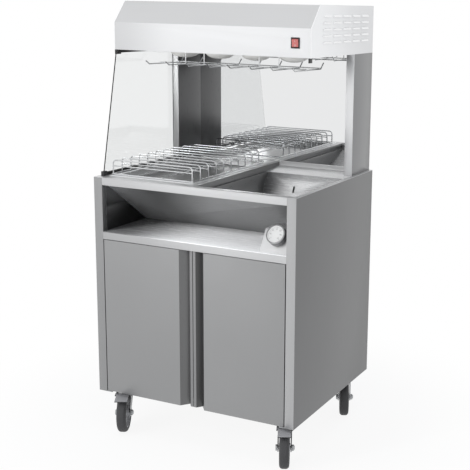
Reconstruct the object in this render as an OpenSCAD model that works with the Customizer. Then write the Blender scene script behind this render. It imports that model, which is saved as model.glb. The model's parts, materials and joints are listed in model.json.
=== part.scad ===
// Mobile chip warmer: cupboard with two doors, open shelf, deck with chip bin
// and rack, lamp hood on two columns, mirror back and one side glass.
// Row frame: X right, Y back, Z up, floor at Z 0, origin under the middle.

/* [Cabinet] */
// Width over the two side panels
cab_w = 700; // [620:10:860]
// Depth of the cabinet
cab_d = 570; // [520:5:660]
// Height from the lower edge to the deck
cab_h = 700; // [640:5:780]
// Height of the lower edge above the floor
cab_z0 = 136; // [120:1:160]
// Thickness of the sheet
sheet = 1.5; // [1:0.1:2]
// Width of the front stiles
stile_w = 30; // [22:1:40]
// Depth of the stile return
stile_d = 20; // [12:1:24]
// Height of the top rail
top_rail_h = 24; // [12:1:40]
// Lower edge of the middle rail below the deck
mid_rail_down = 195; // [160:1:240]
// Top of the open shelf floor below the deck
shelf_down = 171.5; // [140:0.5:210]
// Depth of the open shelf
shelf_d = 232; // [180:1:280]
// Underside of the base sheet above the lower edge
base_z = 20; // [14:1:30]

/* [Doors] */
// Gap between a door and its stile
door_gap = 3; // [2:0.5:5]
// Thickness of a door
door_t = 28; // [24:1:32]
// Thickness of the door sheet
door_sheet = 1.2; // [0.8:0.1:1.5]
// Lower edge of the doors above the cabinet edge
door_z0 = 4; // [3:0.5:8]
// Half width of the grip channel at the door faces
grip_half = 43; // [36:1:55]
// Half width of the grip channel at its bottom
grip_floor = 23; // [18:1:30]
// Depth of the grip channel
grip_d = 24.8; // [20:0.2:25]
// Half width of the flat lips in the middle
lip_half = 10; // [7:1:14]
// Distance of the lips behind the door faces
lip_y = 8.5; // [6:0.5:12]
// Half gap between the two doors
meet_gap = 1; // [0.8:0.1:2]
// Hinge axis in from the door edge and behind its face
hinge_in = 6; // [5.5:0.1:8]
// Radius of the hinge pins
hinge_r = 3; // [2.5:0.1:4]

/* [Deck] */
// Width of the right rim strip of the deck
rim_w = 15; // [14:1:20]
// Left edge of the chip bin well
bin_x0 = 5; // [0:1:20]
// Front edge of the chip bin well
bin_y0 = 22; // [21:1:40]
// Depth of the step down to the bin rim
well_step = 20; // [12:1:26]
// Lean of the rear wall of the bin
bin_slope = 50; // [20:1:94]
// Rear edge of the bin in front of the cabinet back
bin_back = 106; // [95:1:130]
// Front edge of the tray opening
tray_y0 = 62; // [50:1:80]
// Left edge of the tray opening in from the cabinet side
tray_in = 50; // [49:1:60]
// Right edge of the tray opening
tray_x1 = -36; // [-50:1:-30]
// Width of the tray rim in front of the opening
tray_rim = 26; // [14:1:28]
// Depth of the tray below the deck
tray_h = 26; // [16:1:34]
// Corner radius of the tray
tray_r = 28; // [10:1:40]

/* [Control box] */
// Width of the control box
ctrl_w = 88; // [76:1:110]
// Gap from the control box to the cabinet side
ctrl_gap = 35; // [32:1:45]
// Front edge of the sloped panel behind the cabinet face
ctrl_y0 = 9.5; // [2:0.5:20]
// Tilt of the panel from level
ctrl_tilt = 58; // [45:1:75]
// Length of the sloped panel
ctrl_len = 74; // [70:1:95]
// Rear face of the control box
ctrl_y1 = 124; // [100:1:150]
// Diameter of the temperature dial
dial_d = 60; // [50:1:64]
// Height of the dial above the panel
dial_h = 24; // [16:1:30]
// Dial centre up the slope
dial_s = 52; // [45:1:60]
// Dial centre in from the right side of the control box
dial_in = 40; // [34:1:44]
// Radius of the dial shaft
shaft_r = 3; // [2.5:0.1:4]

/* [Columns and glass] */
// Width of a column
col_w = 27; // [20:1:35]
// Columns and hood in from the cabinet side
col_in = 12; // [6:1:20]
// Depth of a column from the cabinet back
col_d = 148; // [110:1:180]
// Underside of the hood above the deck
hood_up = 386; // [340:2:440]
// Thickness of the side glass
glass_t = 4; // [3:0.5:6]
// Middle of the side glass in from the cabinet side
glass_in = 16.5; // [15.5:0.5:25]
// Front foot of the side glass
glass_y0 = 28; // [15:1:60]
// Thickness of the mirror
mirror_t = 3; // [2:0.5:5]

/* [Hood] */
// Front face of the hood behind the cabinet face
hood_y0 = 106; // [90:1:130]
// Height of the hood face
hood_face = 84; // [60:1:100]
// Height of the hood
hood_h = 149; // [120:1:170]
// Front edge of the hood top
hood_y1 = 163; // [140:1:190]
// Length of a vent louvre
louvre_l = 48; // [36:1:56]
// Middle of the last louvres in front of the cabinet back
louvre_back = 73; // [40:1:90]
// Step between louvre rows
louvre_pz = 19; // [15:1:22]
// Radius of a louvre lip
louvre_r = 4.5; // [3:0.5:6]
// Middle of the rocker switch in from the hood side
switch_in = 50; // [38:1:80]
// Middle of the rocker switch above the hood edge
switch_up = 42; // [25:1:55]
// Width of the switch bezel
switch_w = 27; // [24:0.5:30]
// Height of the switch bezel
switch_h = 31; // [28:0.5:36]

/* [Lamps] */
// Step between the heat lamps
lamp_p = 130; // [115:1:140]
// Diameter of a lamp bowl
lamp_d = 95; // [80:1:100]
// Lamp axis behind the cabinet face
lamp_y = 285; // [240:1:320]
// Lowest point of the lamps below the hood edge
lamp_down = 26; // [10:1:40]
// Top of the lamp carrier above the hood edge
carrier_up = 94; // [80:1:100]
// Radius of the guard wires
guard_r = 1.8; // [1.5:0.1:2.5]
// Front of the guard wires below the hood edge
guard_down = 44; // [40:1:60]
// Step between the guard wires
guard_p = 73; // [55:1:78]
// Drop of the guard wires to the rear
guard_drop = 2; // [0:1:14]

/* [Rack] */
// Radius of the rack wires
rack_r = 2.2; // [1.5:0.1:3]
// Height of the divider tops above the deck
rack_h = 48; // [30:1:60]
// Height of the middle wires above the deck
rack_mid = 30; // [20:1:36]
// Front divider behind the cabinet face
rack_y = 54; // [50:1:60]
// Step between the dividers
rack_p = 46.5; // [40:0.5:47]

/* [Castors] */
// Diameter of the wheels
wheel_d = 125; // [100:5:125]
// Width of a tyre
wheel_w = 32; // [28:1:36]
// Swivel axis in from the cabinet side
swivel_x = 58; // [56:1:90]
// Swivel axis in from the front and rear faces
swivel_y = 62; // [56:1:90]
// Trail of the wheel behind the swivel
trail = 40; // [34:1:44]
// Angle the castors stand at
castor_turn = 25; // [0:1:30]
// Radius of the wheel axle
axle_r = 6; // [4:0.5:8]
// Thickness of a fork leg
fork_t = 3; // [2:0.5:4]

/* [Output] */
// Piece drawn alone, or all

/* [Hidden] */
$fn = 48;
// Wheels overhang the cabinet face by this much
wheel_r = wheel_d / 2;
overhang = trail * cos(castor_turn) + wheel_r * cos(castor_turn)
  + 6 * sin(castor_turn) - swivel_y;
front_y = -(cab_d - overhang) / 2;
hw = cab_w / 2;
stile_x = hw - stile_w;
clear = 0.3;
top_rail_z = cab_h - top_rail_h;
mid_rail_z = cab_h - mid_rail_down;
shelf_z = cab_h - shelf_down;
ctrl_x1 = hw - ctrl_gap;
ctrl_x0 = ctrl_x1 - ctrl_w;
tray_x0 = tray_in - hw;
bin_y1 = cab_d - bin_back;
col_x1 = hw - col_in;
col_x0 = col_x1 - col_w;
col_y0 = cab_d - col_d;
glass_x = glass_in - hw;
hood_z0 = cab_h + hood_up;
hood_z1 = hood_z0 + hood_face;
hood_z2 = hood_z0 + hood_h;
switch_x = col_x1 - switch_in;
switch_z = hood_z0 + switch_up;
lamp_z = hood_z0 - lamp_down;
carrier_z = hood_z0 + carrier_up;
guard_z = hood_z0 - guard_down;
rack_z = cab_h + sheet + clear + rack_r;
rack_top = cab_h + rack_h;
run = 0.05;
// Column colours
c_light = [0.86, 0.86, 0.86];
c_mid = [0.76, 0.76, 0.77];
c_door = [0.64, 0.64, 0.65];
c_dark = [0.2, 0.2, 0.21];
c_black = [0.1, 0.1, 0.1];
c_zinc = [0.66, 0.67, 0.69];

// Right hand normal of the step from a to b
function side_n(a, b) = [b[1] - a[1], a[0] - b[0]] / norm(b - a);
function miter(n, m, t) = (n + m) * t / (1 + n * m);
// Path moved to its right by t
function off_path(p, t) = [for (i = [0:len(p) - 1])
  let (n = i == 0 ? side_n(p[0], p[1]) : side_n(p[i - 1], p[i]),
       m = i == len(p) - 1 ? n : side_n(p[i], p[i + 1]))
  p[i] + miter(n, m, t)];
function flip(p) = [for (i = [len(p) - 1:-1:0]) p[i]];

// Moves from the cabinet frame to the row frame
module cab() {
  translate([0, front_y, cab_z0]) children();
}
// Block between two corners
module box(x0, x1, y0, y1, z0, z1) {
  translate([x0, y0, z0]) cube([x1 - x0, y1 - y0, z1 - z0]);
}
// Outline in Y and Z drawn out from x0 to x1
module prof_x(x0, x1) {
  translate([x0, 0, 0]) rotate([90, 0, 90]) linear_extrude(x1 - x0) children();
}
// Outline in X and Y drawn up from z0 to z1
module prof_z(z0, z1) {
  translate([0, 0, z0]) linear_extrude(z1 - z0) children();
}
// Bent sheet section along a path, thickness to the right of it
module bent(p, t) {
  polygon(concat(p, flip(off_path(p, t))));
}
// Rectangle with round corners
module rrect(x0, x1, y0, y1, r) {
  translate([x0 + r, y0]) square([x1 - x0 - 2 * r, y1 - y0]);
  translate([x0, y0 + r]) square([x1 - x0, y1 - y0 - 2 * r]);
  for (x = [x0 + r, x1 - r], y = [y0 + r, y1 - r]) translate([x, y]) circle(r);
}
// Straight wire between two points
module rod(a, b, r) {
  d = b - a;
  l = norm(d);
  translate(a) rotate([0, acos(d[2] / l), atan2(d[1], d[0])]) cylinder(r = r, h = l);
}
// Wire along a list of points with round joints
module wire(p, r) {
  $fn = 16;
  for (i = [0:len(p) - 2]) rod(p[i], p[i + 1], r);
  for (i = [1:len(p) - 2]) translate(p[i]) sphere(r);
}
module both() {
  children();
  mirror([1, 0, 0]) children();
}

// Side sheet with front stile, stile return, rear fold and deck fold
module side_sheet() {
  path = [[hw - 20, cab_d], [hw, cab_d], [hw, 0], [stile_x, 0], [stile_x, stile_d]];
  color(c_mid) cab() {
    prof_z(0, cab_h - sheet) bent(path, sheet);
    box(hw - 12.5, hw - sheet, sheet, cab_d - sheet, cab_h - 2 * sheet, cab_h - sheet);
  }
}
module right_side_panel() side_sheet();
module left_side_panel() mirror([1, 0, 0]) side_sheet();

module back_panel() {
  color(c_mid) cab() box(-hw + sheet, hw - sheet, cab_d - 2 * sheet, cab_d - sheet,
    0, cab_h - 2 * sheet);
}

castor_px = 38;
castor_py = 23;
bolt_r = 4;
module castor_spots() {
  for (sx = [-1, 1], y = [swivel_y, cab_d - swivel_y])
    translate([sx * (hw - swivel_x), front_y + y, 0]) children();
}
module bolt_spots() {
  castor_spots() for (x = [-1, 1], y = [-1, 1])
    translate([x * castor_px, y * castor_py, 0]) children();
}

// Bottom sheet on the castors, with its front edge turned up
gland_x = hw - 150;
gland_y = cab_d - 50;
module base_panel() {
  path = [[cab_d - 2 * sheet, base_z], [31, base_z], [31, base_z + 16]];
  color(c_mid) difference() {
    cab() prof_x(-hw + sheet, hw - sheet) bent(path, sheet);
    bolt_spots() translate([0, 0, cab_z0 + base_z - 1]) cylinder(r = bolt_r, h = 4);
    cab() translate([gland_x, gland_y, base_z - 1]) cylinder(r = 10, h = 4);
  }
}

// Rails between the stiles
module top_rail() {
  path = [[stile_d + sheet, top_rail_z], [0, top_rail_z], [0, cab_h - sheet],
    [stile_d, cab_h - sheet]];
  color(c_mid) cab() prof_x(-stile_x, stile_x) bent(path, sheet);
}
module mid_rail() {
  path = [[46, mid_rail_z], [0, mid_rail_z], [0, shelf_z - sheet],
    [stile_d, shelf_z - sheet]];
  color(c_mid) difference() {
    cab() prof_x(-stile_x, stile_x) bent(path, sheet);
    hinge_spots() translate([0, 0, mid_rail_z - 1]) cylinder(r = hinge_r, h = 4);
  }
}

// Floor of the open shelf, running back over the cupboard
module mid_shelf() {
  color(c_light) cab() {
    box(-stile_x, stile_x, 0, cab_d - 2 * sheet, shelf_z - sheet, shelf_z);
    box(-hw + sheet, hw - sheet, stile_d + sheet, cab_d - 2 * sheet,
      shelf_z - sheet, shelf_z);
  }
}

// Sloped rear and ends of the open shelf, its top lip under the rail
liner_top = [stile_d + 4, top_rail_z - sheet];
module shelf_liner() {
  path = [[shelf_d, shelf_z], liner_top, [6, top_rail_z - sheet]];
  color(c_mid) cab() {
    prof_x(-stile_x - sheet, stile_x + sheet) bent([path[0], path[1]], sheet);
    prof_x(-stile_x + clear, stile_x - clear) bent(path, sheet);
    both() prof_x(stile_x, stile_x + sheet)
      polygon([[stile_d, shelf_z], [shelf_d, shelf_z], liner_top, [stile_d, liner_top[1]]]);
  }
}

// Frame on the sloped panel at the dial: X along it, Y up it, Z out of it
dial_x = ctrl_x1 - dial_in;
module on_panel() {
  cab() translate([dial_x, ctrl_y0 + dial_s * cos(ctrl_tilt),
    shelf_z + dial_s * sin(ctrl_tilt)]) rotate([ctrl_tilt, 0, 0]) children();
}
module control_box() {
  a = [ctrl_y0, shelf_z];
  b = a + ctrl_len * [cos(ctrl_tilt), sin(ctrl_tilt)];
  path = [a, b, [ctrl_y1, b[1]], [ctrl_y1, shelf_z]];
  color(c_light) difference() {
    cab() {
      prof_x(ctrl_x0, ctrl_x1) bent(path, sheet);
      for (x = [ctrl_x0, ctrl_x1 - sheet]) prof_x(x, x + sheet) polygon(path);
    }
    on_panel() translate([0, 0, -5]) cylinder(r = shaft_r + 0.5, h = 10);
    cab() box(ctrl_x0 - 1, ctrl_x1 + 1, ctrl_y0 - 1, ctrl_y1 + 1, shelf_z - 5, shelf_z);
  }
}
thermo_h = 22;
module thermostat() {
  color(c_dark) on_panel() difference() {
    union() {
      translate([-20, -20, -sheet - thermo_h]) cube([40, 40, thermo_h]);
      for (s = [-1, 1]) translate([s * 27 - 5, -6, -sheet - 3]) cube([10, 12, 3]);
      translate([-26, -6, -sheet - 3]) cube([52, 12, 3]);
    }
    translate([0, 0, -sheet - 18]) cylinder(r = shaft_r + run, h = 30);
  }
}

// Deck with the opening over the tray and the stepped well over the bin
mirror_y = cab_d - 2 * sheet - mirror_t;
module tray_hole(o) {
  rrect(tray_x0 - o, tray_x1 + o, tray_y0 - o, mirror_y - 14 + o, tray_r + o);
}
module top_deck() {
  z0 = cab_h - sheet;
  zl = cab_h - well_step;
  ledge = [[mirror_y, cab_h], [mirror_y, zl + 8 - sheet], [bin_y1 + 8, zl - sheet],
    [bin_y1, zl - sheet]];
  color(c_mid) cab() {
    difference() {
      box(-hw, hw, 0, cab_d, z0, cab_h);
      prof_z(z0 - 1, cab_h + 1) {
        tray_hole(sheet);
        translate([bin_x0, bin_y0]) square([hw - rim_w - bin_x0, col_y0 - bin_y0]);
        translate([bin_x0, bin_y0]) square([col_x0 - bin_x0, mirror_y - bin_y0]);
      }
    }
    box(bin_x0 - sheet, bin_x0, bin_y0 - sheet, mirror_y, zl, cab_h);
    box(hw - rim_w, hw - rim_w + sheet, bin_y0 - sheet, mirror_y, zl, z0);
    box(bin_x0 - sheet, hw - rim_w, bin_y0 - sheet, bin_y0, zl, cab_h);
    prof_x(bin_x0 - sheet, hw - rim_w + sheet) bent(ledge, sheet);
    box(-col_x0, col_x0, mirror_y - sheet, mirror_y, z0, cab_h + 4);
  }
}

// Shallow tray set in the deck, its rim narrower beside the column
module rack_tray() {
  zt = cab_h - tray_h;
  r = tray_rim;
  color(c_light) cab() difference() {
    union() {
      prof_z(cab_h, cab_h + sheet) {
        rrect(tray_x0 - r, tray_x1 + r - 2, tray_y0 - r, col_y0 - 2, 12);
        rrect(clear - col_x0, tray_x1 + r - 2, tray_y0 - r, mirror_y - 3, 8);
      }
      prof_z(zt, cab_h + sheet) tray_hole(sheet);
    }
    prof_z(zt + sheet, cab_h + 2 * sheet) tray_hole(0);
  }
}

// Chip bin, deep at the rear, sloping up to the front
module chip_bin() {
  zr = cab_h - well_step;
  x0 = bin_x0 - sheet;
  x1 = hw - rim_w + sheet;
  out = [[bin_y0 + 8, zr], [bin_y0 + 8, zr - 6], [bin_y1 - 164, zr - 105],
    [bin_y1 - bin_slope, zr - 110], [bin_y1, zr]];
  q = off_path(flip(out), sheet);
  color(c_light) cab() difference() {
    union() {
      box(x0, x1, bin_y0 - sheet, bin_y1, zr - sheet, zr);
      prof_x(x0 + 6, x1 - 6) polygon(out);
    }
    prof_x(x0 + 6 + sheet, x1 - 6 - sheet)
      polygon([[bin_y0 + 8 + sheet, zr + 1.7], q[3], q[2], q[1], q[0] + [0.65, 0.76]]);
    box(bin_x0 + 114, bin_x0 + 120, bin_y1 - bin_slope, bin_y1 - 6, zr - 58, zr - 38);
  }
}

// Hollow columns on the deck
module column() {
  color(c_mid) cab() difference() {
    box(col_x0, col_x1, col_y0, cab_d, cab_h, hood_z0);
    box(col_x0 + sheet, col_x1 - sheet, col_y0 + sheet, cab_d - sheet,
      cab_h - 1, hood_z0 + 1);
  }
}
module right_column() column();
module left_column() mirror([1, 0, 0]) column();

mirror_top = hood_z0 + 30;
module mirror_panel() {
  color([0.82, 0.85, 0.87]) cab() box(-col_x0, col_x0, mirror_y, mirror_y + mirror_t,
    cab_h, mirror_top);
}
module upper_back() {
  color(c_mid) cab() box(-col_x0, col_x0, cab_d - 2 * sheet, cab_d - sheet,
    cab_h, mirror_top);
}

// Side glass with its slanted front edge, held in two black strips
glass_z0 = cab_h + 2;
glass_z1 = hood_z0 - 2;
gx0 = glass_x - glass_t / 2;
gx1 = glass_x + glass_t / 2;
module glass_outline() {
  polygon([[glass_y0, glass_z0], [col_y0, glass_z0], [col_y0, glass_z1],
    [hood_y0 + 2, glass_z1]]);
}
module side_glass() {
  color([0.8, 0.9, 0.9, 0.5]) cab() prof_x(gx0, gx1) glass_outline();
}
module glass_seals() {
  color(c_black) cab() difference() {
    union() {
      box(gx0 - 3, gx1 + 3, glass_y0 + 12, col_y0, cab_h, cab_h + 10);
      box(gx0 - 3, gx1 + 3, hood_y0 + 20, col_y0, hood_z0 - 10, hood_z0);
    }
    prof_x(gx0, gx1) glass_outline();
  }
}
// Clips at the front corners of the glass opening
module glass_clips() {
  color(c_black) cab() {
    difference() {
      union() {
        box(gx0 - 3, gx1 + 3, glass_y0 - 6, glass_y0 + 12, cab_h, cab_h + 14);
        box(gx0 - 3, gx1 + 3, hood_y0 + 1, hood_y0 + 20, hood_z0 - 14, hood_z0);
      }
      prof_x(gx0, gx1) glass_outline();
    }
    box(col_x1 - 13, col_x1 - 2, hood_y0 + 3, hood_y0 + 20, hood_z0 - 14, hood_z0);
  }
}

// Hood: front, slope, top and rear in one bent sheet, with two cheeks
hood_x = col_x1 - sheet;
module hood_shell() {
  path = [[hood_y0 + 15, hood_z0], [hood_y0, hood_z0], [hood_y0, hood_z1],
    [hood_y1, hood_z2], [cab_d, hood_z2], [cab_d, hood_z0]];
  color(c_light) cab() difference() {
    prof_x(-hood_x, hood_x) bent(path, sheet);
    box(switch_x - 11.5, switch_x + 11.5, hood_y0 - 1, hood_y0 + 3,
      switch_z - 13.5, switch_z + 13.5);
  }
}
louvre_y = hood_y0 + 107;
louvre_z = hood_z0 + 39;
louvre_px = (cab_d - louvre_back - louvre_y) / 4;
module louvre_spots() {
  for (i = [0:4], k = [0:4])
    translate([0, louvre_y + i * louvre_px - louvre_l / 2, louvre_z + k * louvre_pz])
      children();
}
// Quarter round lip over each vent slot
module louvre() {
  translate([col_x1, 0, 0]) prof_y(louvre_l) difference() {
    intersection() {
      circle(r = louvre_r);
      translate([-1.4, 0]) square([louvre_r + 2, louvre_r + 1]);
    }
    intersection() {
      circle(r = louvre_r - 1);
      translate([-2, -1]) square([louvre_r + 2, louvre_r + 1]);
    }
  }
}
// Outline in X and Z drawn back by l
module prof_y(l) {
  translate([0, l, 0]) rotate([90, 0, 0]) linear_extrude(l) children();
}
module cheek() {
  color(c_light) cab() {
    difference() {
      prof_x(hood_x, col_x1) polygon([[hood_y0, hood_z0], [hood_y0, hood_z1],
        [hood_y1, hood_z2], [cab_d, hood_z2], [cab_d, hood_z0]]);
      louvre_spots() translate([hood_x - 1, 0, 0]) cube([5, louvre_l, louvre_r - 1]);
    }
    louvre_spots() louvre();
    box(hood_x - 15, hood_x, hood_y0 + 15, cab_d - sheet, hood_z0, hood_z0 + sheet);
  }
}
module right_cheek() cheek();
module left_cheek() mirror([1, 0, 0]) cheek();

// Lamps under a channel between the cheeks
holder_r = 20;
base_r = 13.5;
module lamp_spots() {
  cab() for (i = [-1.5:1:1.5]) translate([i * lamp_p, lamp_y, 0]) children();
}
module lamp_carrier() {
  path = [[lamp_y - 42, carrier_z - 14], [lamp_y - 42, carrier_z],
    [lamp_y + 42, carrier_z], [lamp_y + 42, carrier_z - 14]];
  color(c_zinc) difference() {
    cab() prof_x(-hood_x, hood_x) bent(path, sheet);
    lamp_spots() translate([0, 0, carrier_z - 3]) cylinder(r = holder_r, h = 6);
  }
}
module lamp_holders() {
  color(c_light) lamp_spots() difference() {
    union() {
      translate([0, 0, lamp_z + 92]) cylinder(r = holder_r, h = 73);
      translate([0, 0, carrier_z]) cylinder(r = holder_r + 5, h = 3);
    }
    translate([0, 0, lamp_z + 90]) cylinder(r = base_r + 0.2, h = 45);
  }
}
module heat_lamps() {
  k = lamp_d / 95;
  color([0.95, 0.95, 0.93]) lamp_spots() translate([0, 0, lamp_z]) rotate_extrude()
    polygon([[0, 0], [20 * k, 2], [36 * k, 7], [44.5 * k, 15], [47.5 * k, 25],
      [46 * k, 36], [36 * k, 56], [22 * k, 78], [16, 90], [base_r, 91],
      [base_r, 135], [0, 135]]);
}

// Wire guard under the lamps, hung from the carrier
guard_y0 = lamp_y - 113;
guard_y1 = lamp_y + 65;
function guard_at(y) = guard_z + 2.8
  - guard_drop * (y - guard_y0) / (guard_y1 - guard_y0);
module wire_guard() {
  color(c_zinc) cab() {
    for (i = [-3.5:1:3.5]) {
      x = i * guard_p;
      wire([[x, guard_y0 - 18, guard_z + 10], [x, guard_y0, guard_z],
        [x, guard_y1, guard_z - guard_drop],
        [x, guard_y1 + 20, guard_z - guard_drop + 18]], guard_r);
    }
    l = 3.5 * guard_p + 4;
    yh = lamp_y - 42 - guard_r;
    for (y = [yh, guard_y1 - 8]) rod([-l, y, guard_at(y)], [l, y, guard_at(y)], guard_r);
    for (x = [-132, 132], s = [-1, 1])
      rod([x + s * 34, yh, guard_at(yh)], [x + s * 34, yh, carrier_z - 2], guard_r);
  }
}

// Rocker switch: bezel and housing in the hood face
rock_y = hood_y0 + 4;
rock_h = 12.5;
module at_switch() {
  cab() translate([switch_x, 0, switch_z]) children();
}
module switch_body() {
  color(c_black) at_switch() difference() {
    union() {
      box(-switch_w / 2, switch_w / 2, hood_y0 - 2.5, hood_y0,
        -switch_h / 2, switch_h / 2);
      box(-11.5, 11.5, hood_y0, hood_y0 + 24, -13.5, 13.5);
    }
    box(-10.4, 10.4, hood_y0 - 3, hood_y0 + 17, -rock_h - 0.4, rock_h + 0.4);
    translate([-11, rock_y, 0]) rotate([0, 90, 0]) cylinder(r = 1.2 + run, h = 22);
  }
}
module rocker() {
  color([0.75, 0.3, 0.3]) at_switch() translate([0, rock_y, 0]) rotate([7, 0, 0]) {
    prof_x(-10, 10) intersection() {
      circle(r = rock_h);
      polygon([[3, -14], [3, 14], [-9.5, 14], [-6.5, 0], [-9.5, -14]]);
    }
    translate([-10.9, 0, 0]) rotate([0, 90, 0]) cylinder(r = 1.2, h = 21.8);
  }
}

// Cord inlet under the base
module cable_gland() {
  color(c_black) cab() translate([gland_x, gland_y, 0]) difference() {
    union() {
      translate([0, 0, base_z - 11]) cylinder(r = 14, h = 11, $fn = 6);
      translate([0, 0, base_z - 22]) cylinder(r = 11, h = 12);
      translate([0, 0, base_z]) cylinder(r = 10, h = sheet + 6);
      translate([0, 0, base_z + sheet]) cylinder(r = 13, h = 4, $fn = 6);
    }
    translate([0, 0, base_z - 30]) cylinder(r = 4.5, h = 50);
  }
}

// Door hinges: plates with pins below, loose pins in the middle rail above
hinge_x = stile_x - door_gap - hinge_in;
module hinge_spots() {
  cab() for (s = [-1, 1]) translate([s * hinge_x, hinge_in, 0]) children();
}
door_z1 = mid_rail_z - 2;
module hinge_brackets() {
  color(c_zinc) {
    cab() both() box(stile_x - 18, stile_x, 0.5, 19, 0, 3);
    hinge_spots() cylinder(r = hinge_r, h = 13);
  }
}
module hinge_pins() {
  color(c_zinc) hinge_spots() {
    translate([0, 0, mid_rail_z - 12]) cylinder(r = hinge_r, h = 12 + sheet);
    translate([0, 0, mid_rail_z + sheet]) cylinder(r = hinge_r + 1.2, h = 2);
  }
}

// Doors: right one drawn, left one mirrored
door_x1 = stile_x - door_gap;
module door_skin() {
  path = [[door_x1, door_t], [door_x1, 0], [grip_half, 0], [grip_floor, grip_d],
    [lip_half, lip_y], [meet_gap, lip_y], [meet_gap, lip_y + 5.5]];
  cap = [[door_x1, 0], [grip_half, 0], [grip_floor, grip_d],
    [grip_floor, door_t - door_sheet], [door_x1, door_t - door_sheet]];
  color(c_door) difference() {
    union() {
      cab() {
        prof_z(door_z0, door_z1) bent(path, door_sheet);
        for (z = [door_z0, door_z1 - door_sheet]) prof_z(z, z + door_sheet) polygon(cap);
      }
      right_hinge(door_z0) cylinder(r = hinge_in - door_sheet + 0.3, h = 16);
      right_hinge(door_z1 - 16) cylinder(r = hinge_in - door_sheet + 0.3, h = 16);
    }
    right_hinge(door_z0 - 1) cylinder(r = hinge_r + run, h = 14);
    right_hinge(door_z1 - 13) cylinder(r = hinge_r + run, h = 14);
  }
}
module right_hinge(z) {
  cab() translate([hinge_x, hinge_in, z]) children();
}
module door_liner() {
  color(c_mid) cab() box(grip_floor - 4, door_x1 - door_sheet, door_t - door_sheet,
    door_t, door_z0, door_z1);
}
module right_door_skin() door_skin();
module right_door_liner() door_liner();
module left_door_skin() mirror([1, 0, 0]) door_skin();
module left_door_liner() mirror([1, 0, 0]) door_liner();

// Dial on its shaft
face_h = 1.6;
module dial_knob() {
  r = dial_d / 2;
  color(c_black) on_panel() difference() {
    union() {
      rotate_extrude() polygon([[0, 1], [r - 2, 1], [r, 3], [r, dial_h - 1],
        [r - 1, dial_h], [0, dial_h]]);
      translate([0, 0, -sheet - 17]) cylinder(r = shaft_r, h = sheet + 20);
    }
    translate([0, 0, dial_h - 3]) cylinder(r = r - 4, h = 5);
  }
}
module dial_face() {
  color([0.95, 0.95, 0.95]) on_panel() translate([0, 0, dial_h - 3])
    cylinder(r = dial_d / 2 - 4, h = face_h);
}

// Chrome rack of base loops, side rails and upright dividers
rack_x0 = tray_x0 - 18;
rack_x1 = tray_x1 + 11;
rack_xm = 7 - col_x0;
rack_y0 = rack_y - 2;
rack_y1 = cab_d - 70;
rack_n = floor((rack_y1 - rack_y) / rack_p);
rack_k = floor((col_y0 - 20 - rack_y) / rack_p);
module u_loop(x0, x1, y, z0, z1, b, r) {
  $fn = 16;
  rod([x0, y, z0], [x0, y, z1 - b], r);
  rod([x1, y, z0], [x1, y, z1 - b], r);
  rod([x0 + b, y, z1], [x1 - b, y, z1], r);
  translate([x1 - b, y, z1 - b]) rotate([90, 0, 0]) rotate_extrude(angle = 90)
    translate([b, 0]) circle(r = r);
  translate([x0 + b, y, z1 - b]) rotate([90, 0, 0]) rotate([0, 0, 90])
    rotate_extrude(angle = 90) translate([b, 0]) circle(r = r);
}
module carton_rack() {
  $fn = 16;
  r = rack_r;
  zb = rack_z;
  color(c_zinc) cab() {
    wire([[rack_x1, rack_y0, zb], [rack_x0, rack_y0, zb], [rack_x0, col_y0 - 18, zb],
      [rack_xm, col_y0 - 10, zb], [rack_xm, rack_y1, zb], [rack_x1, rack_y1, zb],
      [rack_x1, rack_y0, zb]], r);
    translate([rack_x1, rack_y0, zb]) sphere(r);
    for (i = [0:rack_n]) {
      x0 = i > rack_k ? rack_xm : rack_x0;
      y = rack_y + i * rack_p;
      u_loop(x0 + 2, rack_x1 - 2, y, zb, rack_top, 12, r);
      rod([x0 + 2, y, cab_h + rack_mid], [rack_x1 - 2, y, cab_h + rack_mid], r - 0.4);
    }
    for (x = [rack_x0 + 99, rack_x1 - 108]) rod([x, rack_y0 - 2, zb + 3.2], [x, rack_y1 + 2, zb + 3.2], r);
  }
}

// Castors: plate and kingpin fixed, fork turning on the kingpin
plate_z = cab_z0 + base_z;
crown_z = wheel_d + 5;
leg_w0 = wheel_w / 2 + 2.5;
leg_w1 = leg_w0 + fork_t;
pivot_s = 20;
pivot_z = crown_z - 10;
module castor_plates() {
  color(c_zinc) castor_spots() {
    difference() {
      translate([-47.5, -32, plate_z - 4]) cube([95, 64, 4]);
      for (x = [-1, 1], y = [-1, 1]) translate([x * castor_px, y * castor_py, plate_z - 5])
        cylinder(r = bolt_r, h = 6);
    }
    translate([0, 0, plate_z - 10]) cylinder(r = 22, h = 6);
    translate([0, 0, crown_z - 8.3]) cylinder(r = 6, h = plate_z - crown_z);
    translate([0, 0, crown_z - 8.3]) cylinder(r = 9, h = 8, $fn = 6);
  }
}
module castor_bolts() {
  color(c_zinc) bolt_spots() {
    translate([0, 0, plate_z - 9]) cylinder(r = 6.5, h = 5, $fn = 6);
    translate([0, 0, plate_z - 4]) cylinder(r = bolt_r, h = 16);
  }
}
// Castor frame: X along the trail, Y along the axle, Z up from the floor
module at_castor(side, rear) {
  translate([side * (hw - swivel_x), front_y + (rear ? cab_d - swivel_y : swivel_y), 0])
    rotate([0, 0, castor_turn - 90]) children();
}
// Outline in X and Z drawn from y0 to y1
module leg_prof(y0, y1) {
  translate([0, y1, 0]) rotate([90, 0, 0]) linear_extrude(y1 - y0) children();
}
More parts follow.
